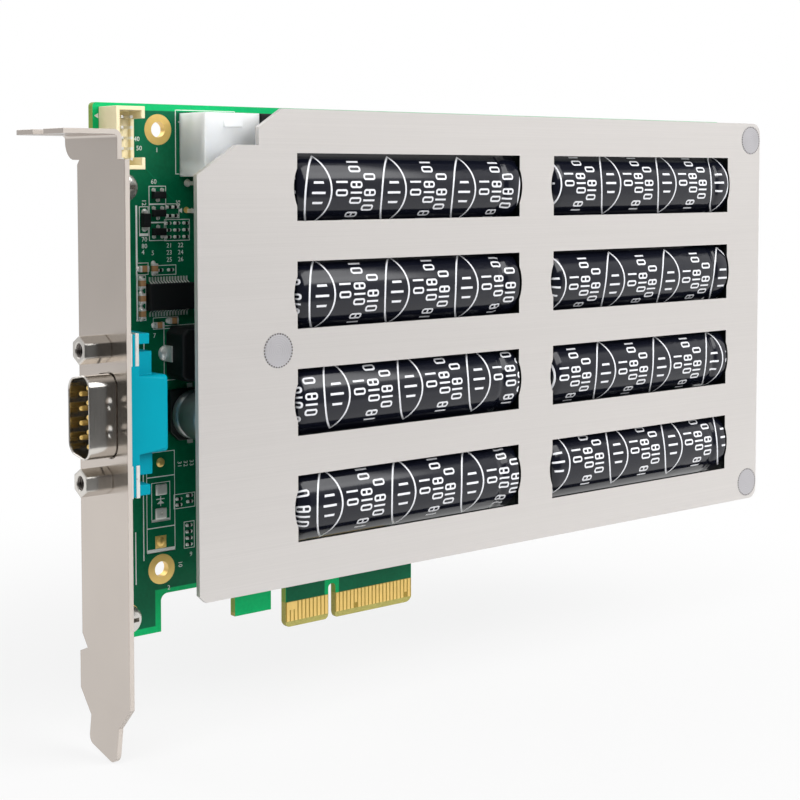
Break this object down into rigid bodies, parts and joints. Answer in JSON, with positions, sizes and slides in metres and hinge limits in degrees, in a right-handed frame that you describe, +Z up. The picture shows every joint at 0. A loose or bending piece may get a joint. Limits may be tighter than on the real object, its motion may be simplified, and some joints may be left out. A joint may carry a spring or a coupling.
{
  "type": "supercapacitor backup module",
  "caption": "Expansion card with a slotted steel bracket, serial connector and headers on a green board, and rows of cylindrical supercapacitors under a windowed steel cover plate.",
  "frame": {"origin": "middle of the edge connector's key notch, at the fingers' bottom edge, in the board's mid-plane", "axes": "+X along the card away from the bracket, +Y from the component side to the solder side, +Z up, away from the slot"},
  "size_m": [0.1946, 0.0237, 0.1251],
  "materials": {
    "solder_mask": "satin dark green coating on glass laminate",
    "gold_plating": "thin gold plating, soft gloss",
    "nickel_plate": "bright nickel plated steel sheet",
    "brushed_steel": "steel sheet brushed along its length",
    "plated_steel": "zinc plated steel",
    "teal_plastic": "moulded plastic, low gloss",
    "black_plastic": "moulded plastic, low gloss",
    "ivory_plastic": "moulded plastic, low gloss",
    "natural_nylon": "slightly translucent natural nylon",
    "chip_moulding": "fine textured moulding",
    "tinned_metal": "tinned copper",
    "can_aluminium": "bare drawn aluminium",
    "tan_ceramic": "unglazed ceramic",
    "cell_sleeve": "shrunk film sleeve with a pale print"
  },
  "bodies": {
    "root": {"circuit_board": "solder_mask", "edge_contacts": "gold_plating", "bracket": "nickel_plate", "bracket_lugs": "nickel_plate", "cover_plate": "brushed_steel", "cover_standoffs": "plated_steel", "serial_shell": "nickel_plate", "serial_insulator": "black_plastic", "serial_body": "teal_plastic", "serial_pins": "gold_plating", "screw_lock_clips": "nickel_plate", "jackscrews": "nickel_plate", "power_header": "natural_nylon", "power_header_pins": "tinned_metal", "box_header": "ivory_plastic", "box_header_pins": "gold_plating", "charger_chip": "chip_moulding", "charger_chip_leads": "tinned_metal", "power_transistors": "chip_moulding", "power_transistor_leads": "tinned_metal", "inductor": "chip_moulding", "inductor_terminals": "tinned_metal", "filter_capacitor_base": "black_plastic", "filter_capacitor_can": "can_aluminium", "filter_capacitor_feet": "tinned_metal", "small_transistors": "chip_moulding", "small_transistor_leads": "tinned_metal", "diodes": "chip_moulding", "diode_terminals": "tinned_metal", "chip_resistors": "chip_moulding", "ceramic_capacitors": "tan_ceramic", "balance_resistors": "chip_moulding", "supercapacitors": "cell_sleeve"}
  },
  "joints": []
}
